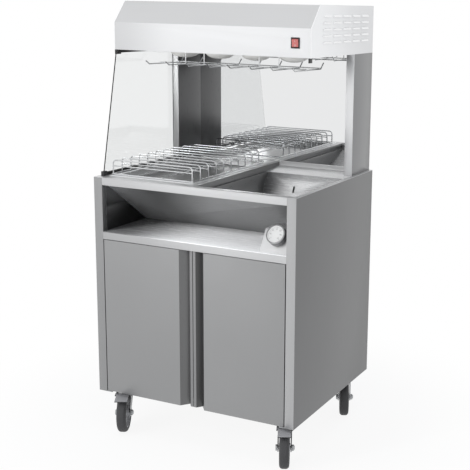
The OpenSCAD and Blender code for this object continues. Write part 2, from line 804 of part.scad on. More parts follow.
// Ring section along the axle, first value out from it
module on_axle() {
  translate([trail, 0, wheel_r]) rotate([-90, 0, 0]) children();
}
module fork(pedal) {
  color(c_zinc) {
    difference() {
      union() {
        translate([-24, -leg_w1, crown_z]) cube([52, 2 * leg_w1, fork_t]);
        translate([0, 0, crown_z]) cylinder(r = 26, h = plate_z - crown_z - 10 - clear);
        for (y = [-leg_w1, leg_w0]) leg_prof(y, y + fork_t) {
          polygon([[-24, crown_z + fork_t], [28, crown_z + fork_t],
            [trail + 13, wheel_r + 5], [trail + 11, wheel_r - 6],
            [trail - 11, wheel_r - 6], [trail - 13, wheel_r + 3]]);
          translate([trail, wheel_r]) circle(r = 13);
        }
      }
      translate([0, 0, crown_z - 1]) cylinder(r = axle_r + run, h = 40);
      on_axle() translate([0, 0, -40]) cylinder(r = axle_r, h = 80);
    }
    if (pedal) for (y = [-leg_w1 - 3.8, leg_w1 - 0.5])
      translate([pivot_s, y, pivot_z]) rotate([-90, 0, 0]) cylinder(r = 3, h = 4.3);
  }
}
module axle() {
  color(c_zinc) on_axle() {
    translate([0, 0, -leg_w1]) cylinder(r = axle_r, h = 2 * leg_w1 + 9);
    translate([0, 0, -leg_w1 - 6]) cylinder(r = 9.5, h = 6, $fn = 6);
    translate([0, 0, leg_w1]) cylinder(r = 9.5, h = 6.5, $fn = 6);
  }
}
hub_r = wheel_r - 14.5;
module hub() {
  w = leg_w0 - 0.5;
  r0 = axle_r + run;
  color([0.5, 0.5, 0.52]) on_axle() rotate_extrude()
    polygon([[r0, -w], [14, -w], [14, -4], [hub_r - 6, -4], [hub_r - 6, 2 - w / 1.2],
      [hub_r, 2 - w / 1.2], [hub_r, w / 1.2 - 2], [hub_r - 6, w / 1.2 - 2],
      [hub_r - 6, 4], [14, 4], [14, w], [r0, w]]);
}
module tyre() {
  w = wheel_w / 2;
  color([0.42, 0.42, 0.43]) on_axle() rotate_extrude()
    polygon([[hub_r, -w + 2], [wheel_r - 6, -w], [wheel_r - 2.5, -w + 3],
      [wheel_r, -6], [wheel_r, 6], [wheel_r - 2.5, w - 3], [wheel_r - 6, w],
      [hub_r, w - 2]]);
}
// Brake pedal: two ears on the fork stubs and a tread over the wheel
module pedal() {
  e0 = leg_w1 + clear;
  e1 = e0 + 3;
  top = [[46, crown_z], [60, crown_z - 1], [94, crown_z - 9.5]];
  color([0.7, 0.7, 0.7]) {
    for (y = [-e1, e0]) difference() {
      leg_prof(y, y + 3) {
        translate([pivot_s, pivot_z]) circle(r = 7);
        polygon([[pivot_s, pivot_z - 7], [pivot_s - 2, pivot_z + 6.7],
          [46, crown_z], [60, crown_z - 1], [60, crown_z - 5]]);
      }
      translate([pivot_s, y - 1, pivot_z]) rotate([-90, 0, 0])
        cylinder(r = 3 + run, h = 5);
    }
    leg_prof(-e1, e1) bent([top[0], top[1]], 2.5);
    leg_prof(-20, 20) bent(top, 2.5);
  }
}
module fork_fl() at_castor(-1, false) fork(true);
module fork_fr() at_castor(1, false) fork(true);
module fork_rl() at_castor(-1, true) fork(false);
module fork_rr() at_castor(1, true) fork(false);
module axle_fl() at_castor(-1, false) axle();
module axle_fr() at_castor(1, false) axle();
module axle_rl() at_castor(-1, true) axle();
module axle_rr() at_castor(1, true) axle();
module hub_fl() at_castor(-1, false) hub();
module hub_fr() at_castor(1, false) hub();
module hub_rl() at_castor(-1, true) hub();
module hub_rr() at_castor(1, true) hub();
module tyre_fl() at_castor(-1, false) tyre();
module tyre_fr() at_castor(1, false) tyre();
module tyre_rl() at_castor(-1, true) tyre();
module tyre_rr() at_castor(1, true) tyre();
module pedal_fl() at_castor(-1, false) pedal();
module pedal_fr() at_castor(1, false) pedal();

left_side_panel();
right_side_panel();
back_panel();
base_panel();
top_rail();
mid_rail();
mid_shelf();
shelf_liner();
control_box();
thermostat();
top_deck();
rack_tray();
chip_bin();
left_column();
right_column();
mirror_panel();
upper_back();
side_glass();
glass_seals();
glass_clips();
hood_shell();
left_cheek();
right_cheek();
lamp_carrier();
lamp_holders();
heat_lamps();
wire_guard();
switch_body();
cable_gland();
hinge_brackets();
hinge_pins();
castor_plates();
castor_bolts();
left_door_skin();
left_door_liner();
right_door_skin();
right_door_liner();
dial_knob();
dial_face();
rocker();
carton_rack();
fork_fl();
fork_fr();
fork_rl();
fork_rr();
axle_fl();
axle_fr();
axle_rl();
axle_rr();
hub_fl();
hub_fr();
hub_rl();
hub_rr();
tyre_fl();
tyre_fr();
tyre_rl();
tyre_rr();
pedal_fl();
pedal_fr();
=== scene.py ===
# %% [markdown]
# # A mobile chip warmer
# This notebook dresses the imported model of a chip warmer: a stainless steel
# cupboard on castors, with a heated bin, a carton rack and a lamp hood.
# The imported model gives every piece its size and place, so it is loaded first
# and never moved. What follows adds finishes and finer pieces around it.

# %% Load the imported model
import bpy
import json
import math
from mathutils import Matrix, Vector
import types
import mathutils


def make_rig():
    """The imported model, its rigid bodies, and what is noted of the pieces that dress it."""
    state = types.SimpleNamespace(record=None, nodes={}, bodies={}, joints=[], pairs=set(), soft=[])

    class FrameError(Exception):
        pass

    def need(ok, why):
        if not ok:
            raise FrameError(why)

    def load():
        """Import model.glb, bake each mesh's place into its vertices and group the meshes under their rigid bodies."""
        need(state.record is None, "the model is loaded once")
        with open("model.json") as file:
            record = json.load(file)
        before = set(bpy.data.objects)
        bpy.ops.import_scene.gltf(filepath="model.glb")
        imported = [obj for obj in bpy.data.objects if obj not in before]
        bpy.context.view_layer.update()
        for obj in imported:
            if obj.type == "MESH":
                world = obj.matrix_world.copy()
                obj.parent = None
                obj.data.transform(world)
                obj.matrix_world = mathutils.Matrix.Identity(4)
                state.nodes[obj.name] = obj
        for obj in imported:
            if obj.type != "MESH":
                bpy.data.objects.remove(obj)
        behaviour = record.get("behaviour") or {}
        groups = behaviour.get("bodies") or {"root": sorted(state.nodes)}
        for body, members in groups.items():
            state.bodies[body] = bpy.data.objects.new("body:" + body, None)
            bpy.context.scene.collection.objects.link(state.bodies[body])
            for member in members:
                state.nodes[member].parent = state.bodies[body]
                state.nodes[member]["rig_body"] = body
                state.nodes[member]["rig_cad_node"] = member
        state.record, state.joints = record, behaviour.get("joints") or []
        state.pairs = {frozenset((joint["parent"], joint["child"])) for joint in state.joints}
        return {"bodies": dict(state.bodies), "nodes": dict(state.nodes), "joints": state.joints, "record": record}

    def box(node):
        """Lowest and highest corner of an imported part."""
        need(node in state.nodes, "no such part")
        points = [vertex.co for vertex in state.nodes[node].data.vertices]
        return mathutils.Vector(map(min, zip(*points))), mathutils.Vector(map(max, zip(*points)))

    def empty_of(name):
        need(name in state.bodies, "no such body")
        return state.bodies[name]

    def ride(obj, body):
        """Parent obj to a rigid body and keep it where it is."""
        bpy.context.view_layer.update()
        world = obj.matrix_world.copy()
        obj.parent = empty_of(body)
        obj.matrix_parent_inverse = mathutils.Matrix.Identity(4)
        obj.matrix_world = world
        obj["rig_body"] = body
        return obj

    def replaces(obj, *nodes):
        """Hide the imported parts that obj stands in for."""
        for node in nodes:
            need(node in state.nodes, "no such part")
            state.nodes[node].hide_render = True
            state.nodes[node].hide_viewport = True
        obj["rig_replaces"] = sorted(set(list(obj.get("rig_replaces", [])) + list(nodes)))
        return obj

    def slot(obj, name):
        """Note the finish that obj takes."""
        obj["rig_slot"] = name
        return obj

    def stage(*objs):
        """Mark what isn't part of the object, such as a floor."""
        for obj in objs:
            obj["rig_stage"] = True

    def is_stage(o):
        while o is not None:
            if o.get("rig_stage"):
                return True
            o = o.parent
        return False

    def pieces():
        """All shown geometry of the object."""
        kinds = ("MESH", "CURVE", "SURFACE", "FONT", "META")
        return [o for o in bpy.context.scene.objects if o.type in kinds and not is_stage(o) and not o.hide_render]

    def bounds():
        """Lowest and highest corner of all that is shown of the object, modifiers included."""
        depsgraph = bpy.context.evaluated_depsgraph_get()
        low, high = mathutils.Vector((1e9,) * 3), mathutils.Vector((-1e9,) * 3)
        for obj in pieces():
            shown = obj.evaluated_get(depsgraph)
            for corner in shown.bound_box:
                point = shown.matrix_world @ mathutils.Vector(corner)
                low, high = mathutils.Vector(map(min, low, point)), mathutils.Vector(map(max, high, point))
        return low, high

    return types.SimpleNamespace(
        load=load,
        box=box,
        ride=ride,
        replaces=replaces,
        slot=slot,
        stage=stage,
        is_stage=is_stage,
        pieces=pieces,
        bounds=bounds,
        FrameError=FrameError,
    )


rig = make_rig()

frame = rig.load()
cad_box = [[float(v) for v in corner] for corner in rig.bounds()]
nodes = frame["nodes"]
print("nodes loaded:", len(nodes), "box:", cad_box)

# %% [markdown]
# The counter stands on Z 0 with its doors facing -Y. A few levels and faces
# are used by many pieces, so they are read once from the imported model. Reading
# them keeps every added piece on the part that carries it.

# %% Read the levels that other pieces use
def low(node):
    return Vector(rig.box(node)[0])


def high(node):
    return Vector(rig.box(node)[1])


front_y = low("top_rail").y
deck_z = high("right_side_panel").z
hood_front = low("hood_shell").y
print("front", round(front_y, 4), "deck", round(deck_z, 4), "hood", round(hood_front, 4))

# %% [markdown]
# The camera looks at the right front corner from a little above. It could be
# aimed by an empty and a constraint, but a fixed matrix is simpler to read
# back: yaw turns it to the left, pitch tips it down, and a small roll levels
# the floor line. The long lens keeps the uprights nearly parallel.

# %% Place the camera
yaw, pitch, roll = 0.4169, 0.2035, 0.0216
frame_px, focal_px = 470, 999.8
axis_px = (335.9, 208.0)
sensor_mm = 36
ahead = Vector((-math.sin(yaw) * math.cos(pitch),
                math.cos(yaw) * math.cos(pitch), -math.sin(pitch)))
right = Vector((math.cos(yaw), math.sin(yaw), 0))
up = right.cross(ahead)
right_rolled = right * math.cos(roll) + up * math.sin(roll)
up_rolled = up * math.cos(roll) - right * math.sin(roll)
camera_data = bpy.data.cameras.new("camera")
camera_data.sensor_width = sensor_mm
camera_data.lens = focal_px / frame_px * sensor_mm
camera_data.shift_x = (frame_px / 2 - axis_px[0]) / frame_px
camera_data.shift_y = (axis_px[1] - frame_px / 2) / frame_px
camera = bpy.data.objects.new("camera", camera_data)
bpy.context.scene.collection.objects.link(camera)
turn = Matrix((right_rolled, up_rolled, -ahead)).transposed().to_4x4()
camera.matrix_world = Matrix.Translation((1.5717, front_y - 2.4827, deck_z + 0.5474)) @ turn
bpy.context.scene.camera = camera
print("camera at", [round(v, 3) for v in camera.location], "lens", round(camera_data.lens, 1))

# %% [markdown]
# Brushed steel shows what stands around it, so the room matters as much as the
# lamps. The world lights softly, and to the camera, to reflections and through
# glass it is plain white. The lamps themselves are hidden from reflections,
# and a soft spot from the left front reaches into the open shelf.

# %% Light the room
def seen_straight(tree):
    rays = tree.nodes.new("ShaderNodeLightPath")
    seen = rays.outputs["Is Camera Ray"]
    for ray in ("Is Glossy Ray", "Is Transmission Ray"):
        either = tree.nodes.new("ShaderNodeMath")
        either.operation = "MAXIMUM"
        tree.links.new(seen, either.inputs[0])
        tree.links.new(rays.outputs[ray], either.inputs[1])
        seen = either.outputs[0]
    return seen


scene = bpy.context.scene
scene.view_settings.view_transform = "Standard"
world = bpy.data.worlds.new("room")
scene.world = world
world.use_nodes = True
wn, wl = world.node_tree.nodes, world.node_tree.links
wn.clear()
soft = wn.new("ShaderNodeBackground")
soft.inputs["Color"].default_value = (0.93, 0.96, 1.0, 1)
soft.inputs["Strength"].default_value = 0.62
white = wn.new("ShaderNodeBackground")
white.inputs["Color"].default_value = (1, 1, 1, 1)
white.inputs["Strength"].default_value = 1.0
pick = wn.new("ShaderNodeMixShader")
out = wn.new("ShaderNodeOutputWorld")
wl.new(seen_straight(world.node_tree), pick.inputs["Fac"])
wl.new(soft.outputs[0], pick.inputs[1])
wl.new(white.outputs[0], pick.inputs[2])
wl.new(pick.outputs[0], out.inputs["Surface"])


def hang(lamp, place, target):
    holder = bpy.data.objects.new(lamp.name, lamp)
    holder.location = place
    aim = Vector(target) - Vector(place)
    holder.rotation_euler = aim.to_track_quat("-Z", "Y").to_euler()
    holder.visible_glossy = False
    scene.collection.objects.link(holder)


def area_lamp(name, place, target, size, power):
    lamp = bpy.data.lights.new(name, "AREA")
    lamp.shape = "RECTANGLE"
    lamp.size, lamp.size_y = size
    lamp.energy = power
    hang(lamp, place, target)


area_lamp("front_lamp", (-2.0, -3.4, 1.9), (0, 0, 0.8), (2.2, 1.8), 58)
area_lamp("low_lamp", (-0.6, -3.0, 0.75), (0, 0, 0.6), (1.8, 0.9), 16)
area_lamp("top_lamp", (0.2, -0.6, 3.6), (0, 0, 0.9), (2.4, 2.0), 22)
spot = bpy.data.lights.new("shelf_lamp", "SPOT")
spot.energy = 290
spot.spot_size = math.radians(19)
spot.spot_blend = 1.0
spot.shadow_soft_size = 0.28
hang(spot, (-1.1, front_y - 1.9, deck_z + 1.3), (0.0, front_y + 0.06, deck_z - 0.12))
print("lamps:", [o.name for o in bpy.data.objects if o.type == "LIGHT"])

# %% [markdown]
# The floor is one large plane. It is marked as stage, so it is no part of the
# counter. Far off it is plain white to the camera. Near the counter a tenth of
# the paper's own shade is mixed in, which keeps a faint shadow at the castors.

# %% Lay the floor
def deselect():
    if bpy.context.object and bpy.context.object.mode != "OBJECT":
        bpy.ops.object.mode_set(mode="OBJECT")
    bpy.ops.object.select_all(action="DESELECT")


deselect()
bpy.ops.mesh.primitive_plane_add(size=24, location=(0, 0, 0))
floor = bpy.context.object
floor.name = "floor"
floor_paint = bpy.data.materials.new("floor_paper")
floor_paint.use_nodes = True
fn, fl = floor_paint.node_tree.nodes, floor_paint.node_tree.links
paper = fn["Principled BSDF"]
paper.inputs["Base Color"].default_value = (0.88, 0.88, 0.88, 1)
paper.inputs["Roughness"].default_value = 0.9
paper.inputs["Specular IOR Level"].default_value = 0.0
sheet_white = fn.new("ShaderNodeEmission")
sheet_white.inputs["Strength"].default_value = 1.0
floor_share = fn.new("ShaderNodeMath")
floor_share.operation = "MULTIPLY"
floor_place = fn.new("ShaderNodeTexCoord")
floor_far = fn.new("ShaderNodeVectorMath")
floor_far.operation = "LENGTH"
floor_grade = fn.new("ShaderNodeMapRange")
floor_grade.interpolation_type = "SMOOTHSTEP"
floor_grade.inputs["From Min"].default_value = 0.45
floor_grade.inputs["From Max"].default_value = 1.1
floor_grade.inputs["To Min"].default_value = 0.9
floor_grade.inputs["To Max"].default_value = 1.0
fl.new(floor_place.outputs["Object"], floor_far.inputs[0])
fl.new(floor_far.outputs["Value"], floor_grade.inputs["Value"])
fl.new(floor_grade.outputs["Result"], floor_share.inputs[1])
floor_mix = fn.new("ShaderNodeMixShader")
fl.new(seen_straight(floor_paint.node_tree), floor_share.inputs[0])
fl.new(floor_share.outputs[0], floor_mix.inputs["Fac"])
fl.new(paper.outputs[0], floor_mix.inputs[1])
fl.new(sheet_white.outputs[0], floor_mix.inputs[2])
fl.new(floor_mix.outputs[0], fn["Material Output"].inputs["Surface"])
floor.data.materials.append(floor_paint)
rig.stage(floor)
print("floor", floor.dimensions[:])

# %% [markdown]
# Brushed stainless steel has fine lines that run one way and a slow change of
# tone over a sheet. A photograph of steel could be wrapped round each piece,
# but a noise that is stretched along the brush direction needs no picture and
# stays sharp close up. The same noise moves the roughness and the bump. Where
# light falls off along a sheet, a fade tints its tone along one axis.

# %% Make the steel finishes
def shader_of(name, colour, metallic, roughness):
    paint = bpy.data.materials.new(name)
    paint.use_nodes = True
    shader = paint.node_tree.nodes["Principled BSDF"]
    shader.inputs["Base Color"].default_value = (*colour, 1)
    shader.inputs["Metallic"].default_value = metallic
    shader.inputs["Roughness"].default_value = roughness
    return paint, shader


def stretched_noise(paint, scale, size, detail):
    tree = paint.node_tree
    place = tree.nodes.new("ShaderNodeTexCoord")
    stretch = tree.nodes.new("ShaderNodeMapping")
    stretch.inputs["Scale"].default_value = scale
    noise = tree.nodes.new("ShaderNodeTexNoise")
    noise.inputs["Scale"].default_value = size
    noise.inputs["Detail"].default_value = detail
    tree.links.new(place.outputs["Object"], stretch.inputs["Vector"])
    tree.links.new(stretch.outputs["Vector"], noise.inputs["Vector"])
    return noise


def spread(paint, source, low_value, high_value, socket):
    tree = paint.node_tree
    remap = tree.nodes.new("ShaderNodeMapRange")
    remap.inputs["To Min"].default_value = low_value
    remap.inputs["To Max"].default_value = high_value
    tree.links.new(source.outputs["Fac"], remap.inputs["Value"])
    tree.links.new(remap.outputs["Result"], socket)


def two_tones(paint, source, dark, light, socket):
    tree = paint.node_tree
    mix = tree.nodes.new("ShaderNodeMix")
    mix.data_type = "RGBA"
    mix.inputs["A"].default_value = (*dark, 1)
    mix.inputs["B"].default_value = (*light, 1)
    tree.links.new(source.outputs["Fac"], mix.inputs["Factor"])
    tree.links.new(mix.outputs["Result"], socket)


def bump_from(paint, source, distance, strength):
    tree = paint.node_tree
    bump = tree.nodes.new("ShaderNodeBump")
    bump.inputs["Distance"].default_value = distance
    bump.inputs["Strength"].default_value = strength
    tree.links.new(source.outputs["Fac"], bump.inputs["Height"])
    tree.links.new(bump.outputs["Normal"], tree.nodes["Principled BSDF"].inputs["Normal"])


def brushed(name, tone, along="X", roughness=0.36, metallic=0.75):
    colour = (tone, tone * 1.005, tone * 1.015)
    paint, shader = shader_of(name, colour, metallic, roughness)
    lines = {"X": (0.6, 30, 30), "Y": (30, 0.6, 30), "Z": (30, 30, 0.6)}[along]
    grain = stretched_noise(paint, lines, 24, 4)
    cloud = stretched_noise(paint, (1, 1, 1), 2.2, 2)
    dark, light = (tuple(min(1, c * k) for c in colour) for k in (0.93, 1.06))
    two_tones(paint, cloud, dark, light, shader.inputs["Base Color"])
    spread(paint, grain, roughness - 0.07, roughness + 0.07, shader.inputs["Roughness"])
    bump_from(paint, grain, 0.0004, 0.12)
    return paint


def fade(paint, axis, start, stop, first, last):
    tree = paint.node_tree
    socket = tree.nodes["Principled BSDF"].inputs["Base Color"]
    source = socket.links[0].from_socket
    place = tree.nodes.new("ShaderNodeTexCoord")
    split = tree.nodes.new("ShaderNodeSeparateXYZ")
    ramp = tree.nodes.new("ShaderNodeMapRange")
    ramp.interpolation_type = "SMOOTHSTEP"
    ramp.inputs["From Min"].default_value = start
    ramp.inputs["From Max"].default_value = stop
    ramp.inputs["To Min"].default_value = first
    ramp.inputs["To Max"].default_value = last
    tint = tree.nodes.new("ShaderNodeMix")
    tint.data_type = "RGBA"
    tint.blend_type = "MULTIPLY"
    tint.inputs["Factor"].default_value = 1.0
    tree.links.new(place.outputs["Object"], split.inputs[0])
    tree.links.new(split.outputs[axis], ramp.inputs["Value"])
    tree.links.new(source, tint.inputs["A"])
    tree.links.new(ramp.outputs["Result"], tint.inputs["B"])
    tree.links.new(tint.outputs["Result"], socket)


steel = {
    "hood": brushed("steel_hood", 0.83, "X", 0.42),
    # painted shade: a darker copy of the hood's steel for its upward slope
    "slope": brushed("steel_slope", 0.62, "X", 0.42),
    "cheek": brushed("steel_cheek", 0.92, "Y", 0.42),
    # painted highlight: a lighter copy of the cheek's steel for the louvres and a strip of the deck
    "louvre": brushed("steel_louvre", 0.97, "Y", 0.30),
    "rail": brushed("steel_rail", 0.59, "X"),
    "mid": brushed("steel_mid", 0.52, "X"),
    "stile": brushed("steel_stile", 0.43, "Z"),
    # painted shade: the side, back and base panels are toned dark, as they face away from the lamps
    "side": brushed("steel_side_shade", 0.20, "Z", 0.40),
    "door": brushed("steel_door", 0.31, "Z"),
    # painted shade: darker copies for the door grips, deepest on the right door, and for their lips
    "grip": brushed("steel_grip", 0.16, "Z", 0.30),
    "grip_right": brushed("steel_grip_right", 0.09, "Z", 0.30),
    "lip": brushed("steel_lip_shade", 0.26, "Z", 0.30),
    "deck": brushed("steel_deck", 0.56, "X", 0.34),
    # painted shade on the tray's inside and a painted highlight on its rim
    "tray": brushed("steel_tray_shade", 0.50, "Y", 0.30),
    "rim": brushed("steel_rim", 0.80, "Y", 0.30),
    "bin": brushed("steel_bin", 0.72, "X", 0.26, 0.6),
    # painted shade on the well walls of the bin and deck
    "well": brushed("steel_well", 0.26, "Y", 0.30),
    "shelf": brushed("steel_shelf", 0.92, "X", 0.26, 0.15),
    # painted shade: the dark liner of the shelf and doors, and the near-black mirror of the shelf's end walls
    "liner": brushed("steel_liner_shade", 0.28, "X", 0.30),
    "end_shade": brushed("steel_end_shade", 0.13, "Z", 0.10, 1.0),
    "panel": brushed("steel_panel", 0.64, "X", 0.36),
    "column": brushed("steel_column", 0.76, "Z", 0.34),
    # painted shade on the column sides and inner faces
    "column_side_shade": brushed("steel_column_side_shade", 0.27, "Z", 0.34),
    "column_in_shade": brushed("steel_column_in_shade", 0.14, "Z", 0.30),
}
# painted light and shade along one axis: the hood and rails darken to the left and the cheeks to the back where the
# light falls off, the shelf floor darkens on the left as a painted shadow of the side panel, the liner is lighter on
# the left against that shadow, and the bin darkens at its left end as a painted reflection
fade(steel["hood"], "X", -0.34, -0.10, 0.80, 1.0)
fade(steel["cheek"], "Y", front_y + 0.10, front_y + 0.57, 1.03, 0.86)
fade(steel["rail"], "X", -0.32, 0.25, 0.84, 1.04)
fade(steel["mid"], "X", -0.32, 0.25, 0.78, 1.08)
fade(steel["shelf"], "X", -0.27, -0.02, 0.22, 1.0)
fade(steel["liner"], "X", -0.31, -0.13, 3.0, 1.0)
fade(steel["bin"], "X", 0.012, 0.16, 0.35, 1.0)
print("steel finishes:", len(steel))

# %% [markdown]
# The small pieces have plainer finishes: zinc plate with a faint bloom, bright
# chrome wire, grey rubber, moulded plastic and glass. Each gets its own slight
# unevenness from a noise, because a single flat colour looks like a model.

# %% Make the other finishes
def moulded(name, colour, roughness, bump=0.05, size=260, metallic=0.0):
    paint, shader = shader_of(name, colour, metallic, roughness)
    skin = stretched_noise(paint, (1, 1, 1), size, 2)
    dark, light = (tuple(min(1, c * k) for c in colour) for k in (0.9, 1.08))
    two_tones(paint, skin, dark, light, shader.inputs["Base Color"])
    spread(paint, skin, max(0.02, roughness - 0.05), min(1, roughness + 0.08),
           shader.inputs["Roughness"])
    bump_from(paint, skin, 0.0002, bump)
    return paint


# painted shade: near-black metal for the shaded sides of the pedals and the front forks' heads
painted_shade_metal = moulded("painted_shade_metal", (0.035, 0.035, 0.037), 0.4, 0.05, 60, 0.5)
zinc = moulded("zinc_plate", (0.42, 0.43, 0.44), 0.34, 0.05, 60, 0.9)
chrome = moulded("chrome_wire", (0.74, 0.75, 0.76), 0.12, 0.02, 90, 1.0)
rubber = moulded("grey_rubber", (0.050, 0.050, 0.052), 0.62, 0.25, 420)
black_rubber = moulded("black_rubber", (0.018, 0.018, 0.018), 0.55, 0.2, 420)
black_plastic = moulded("black_plastic", (0.02, 0.02, 0.021), 0.36)
white_plastic = moulded("white_plastic", (0.54, 0.54, 0.535), 0.38)
# painted shade: the dial's drum is grey for the shade on its side
dial_drum_shade = moulded("dial_drum_shade", (0.20, 0.20, 0.205), 0.4)
hub_plastic = moulded("hub_plastic", (0.52, 0.52, 0.53), 0.45)
pedal_paint = moulded("pedal_paint", (0.30, 0.30, 0.31), 0.4, 0.1, 300)
ceramic = moulded("ceramic", (0.72, 0.71, 0.68), 0.3)
lamp_glass = moulded("lamp_glass", (0.80, 0.79, 0.76), 0.18, 0.02, 40)
red_lens = moulded("red_lens", (0.55, 0.16, 0.15), 0.2, 0.02, 200)
ink = moulded("dark_ink", (0.12, 0.12, 0.12), 0.5, 0.02, 200)
mirror_silver, silver_shader = shader_of("mirror_silver", (0.81, 0.815, 0.82), 1.0, 0.02)
silver_noise = stretched_noise(mirror_silver, (1, 1, 1), 3, 2)
spread(mirror_silver, silver_noise, 0.012, 0.03, silver_shader.inputs["Roughness"])
clear_glass, glass_shader = shader_of("clear_glass", (0.86, 0.87, 0.87), 0.0, 0.02)
glass_shader.inputs["Transmission Weight"].default_value = 1.0
glass_shader.inputs["IOR"].default_value = 1.45
glass_noise = stretched_noise(clear_glass, (1, 1, 1), 5, 2)
spread(clear_glass, glass_noise, 0.0, 0.03, glass_shader.inputs["Roughness"])
print("materials:", len(bpy.data.materials))

# %% [markdown]
# Every node of the imported model that stays in sight gets its finish here. The
# list is read as a parts list: which piece is made of what, though the dark
# steel of the side, back and base panels is painted shade. The brush runs
# along a sheet's long side, as it leaves the mill.

# %% Dress the imported nodes
finish_of = {
    "hood_shell": steel["hood"], "left_cheek": steel["cheek"], "right_cheek": steel["cheek"],
    "top_rail": steel["rail"], "mid_rail": steel["mid"],
    "left_side_panel": steel["side"], "right_side_panel": steel["side"],
    "back_panel": steel["side"], "base_panel": steel["side"], "upper_back": steel["side"],
    "left_door_skin": steel["door"], "right_door_skin": steel["door"],
    "left_door_liner": steel["liner"], "right_door_liner": steel["liner"],
    "top_deck": steel["deck"], "rack_tray": steel["tray"], "chip_bin": steel["bin"],
    "mid_shelf": steel["shelf"], "shelf_liner": steel["liner"], "control_box": steel["panel"],
    "left_column": steel["column"], "right_column": steel["column"],
    "mirror_panel": mirror_silver, "side_glass": clear_glass,
    "glass_seals": black_rubber, "glass_clips": black_plastic,
    "lamp_carrier": zinc, "lamp_holders": ceramic, "heat_lamps": lamp_glass,
    "wire_guard": chrome, "carton_rack": chrome,
    "switch_body": black_plastic, "rocker": red_lens, "cable_gland": black_plastic,
    "hinge_brackets": zinc, "hinge_pins": zinc, "castor_plates": zinc, "castor_bolts": zinc,
    "thermostat": black_plastic, "dial_knob": dial_drum_shade, "dial_face": white_plastic,
}
for corner in ("fl", "fr", "rl", "rr"):
    finish_of["fork_" + corner] = zinc
    finish_of["axle_" + corner] = zinc
    finish_of["hub_" + corner] = hub_plastic
    finish_of["tyre_" + corner] = rubber
for corner in ("fl", "fr"):
    finish_of["pedal_" + corner] = pedal_paint


def dress(piece, paint):
    piece.data.materials.clear()
    piece.data.materials.append(paint)


for name, paint in finish_of.items():
    dress(nodes[name], paint)
print("dressed", len(finish_of), "of", len(nodes), "nodes")

# %% [markdown]
# ## Shaping tools
# A few helpers stand for what the hand does in edit mode: pick faces or edges
# by a rule, then run an operator on them. They keep the cells below short.
# Each finished piece has its place in its mesh, so it can ride on its body.

# %% Define the shaping helpers
def start(kind, name, **sizes):
    deselect()
    getattr(bpy.ops.mesh, "primitive_" + kind + "_add")(**sizes)
    piece = bpy.context.object
    piece.name = name
    bpy.ops.object.transform_apply(location=True, rotation=True, scale=True)
    return piece


def pick_faces(piece, rule):
    bpy.ops.object.mode_set(mode="EDIT")
    bpy.ops.mesh.select_mode(type="FACE")
    bpy.ops.mesh.select_all(action="DESELECT")
    bpy.ops.object.mode_set(mode="OBJECT")
    for face in piece.data.polygons:
        face.select = bool(rule(face.center, face.normal))
    bpy.ops.object.mode_set(mode="EDIT")


def pick_edges(piece, rule):
    bpy.ops.object.mode_set(mode="EDIT")
    bpy.ops.mesh.select_mode(type="EDGE")
    bpy.ops.mesh.select_all(action="DESELECT")
    bpy.ops.object.mode_set(mode="OBJECT")
    points = [v.co for v in piece.data.vertices]
    for edge in piece.data.edges:
        a, b = (points[i] for i in edge.vertices)
        edge.select = bool(rule(a, b))
    bpy.ops.object.mode_set(mode="EDIT")


def leave_edit(piece, angle=32):
    bpy.ops.mesh.select_all(action="SELECT")
    bpy.ops.mesh.normals_make_consistent(inside=False)
    bpy.ops.object.mode_set(mode="OBJECT")
    deselect()
    piece.select_set(True)
    bpy.context.view_layer.objects.active = piece
    bpy.ops.object.shade_smooth_by_angle(angle=math.radians(angle))


def rounded(piece, width, segments=3, angle=35):
    deselect()
    piece.select_set(True)
    bpy.context.view_layer.objects.active = piece
    edge = piece.modifiers.new("edge", "BEVEL")
    edge.width = width
    edge.segments = segments
    edge.limit_method = "ANGLE"
    edge.angle_limit = math.radians(angle)
    bpy.ops.object.modifier_apply(modifier="edge")
    bpy.ops.object.shade_smooth_by_angle(angle=math.radians(40))


def placed(piece, matrix):
    piece.data.transform(matrix)
    piece.data.update()


def copy_of(piece, name):
    twin = piece.copy()
    twin.data = piece.data.copy()
    twin.name = name
    bpy.context.scene.collection.objects.link(twin)
    return twin


def joined(parts, name):
    deselect()
    for part in parts:
        part.select_set(True)
    bpy.context.view_layer.objects.active = parts[0]
    bpy.ops.object.join()
    whole = bpy.context.object
    whole.name = name
    return whole


print("shaping helpers ready")

# %% [markdown]
# ## Castors
# A castor stands turned by 25 degrees, with its wheel trailing behind the
# swivel. One is built in its own frame, X along the trail and Y along the
# axle, and copied to the four corners, each copy with its own mesh.

# %% Find the castor frames
castor_turn = math.radians(25 - 90)
wheel_r = 0.0625
trail = 0.040
castor_frame = {}
for corner in ("fl", "fr", "rl", "rr"):
    axle_mid = (low("tyre_" + corner) + high("tyre_" + corner)) / 2
    swivel = axle_mid - trail * Vector((math.cos(castor_turn), math.sin(castor_turn), 0))
    castor_frame[corner] = (Matrix.Translation((swivel.x, swivel.y, 0))
                            @ Matrix.Rotation(castor_turn, 4, "Z"))
    print(corner, "swivel at", round(swivel.x, 4), round(swivel.y, 4))
wheel_mid = (Matrix.Translation((trail, 0, wheel_r))
             @ Matrix.Rotation(math.radians(-90), 4, "X"))

# %% [markdown]
# The tyre is a rubber ring with a rounded tread. It could be spun from a drawn
# profile; here a short cylinder has its rims bevelled, and its faces are
# inset, opened and bridged, which keeps the tread evenly divided.

# %% Shape the tyre
tyre_w, tyre_inner_r = 0.030, 0.0485


def near_axle(point, radius=0.01):
    return Vector(point.xy).length < radius


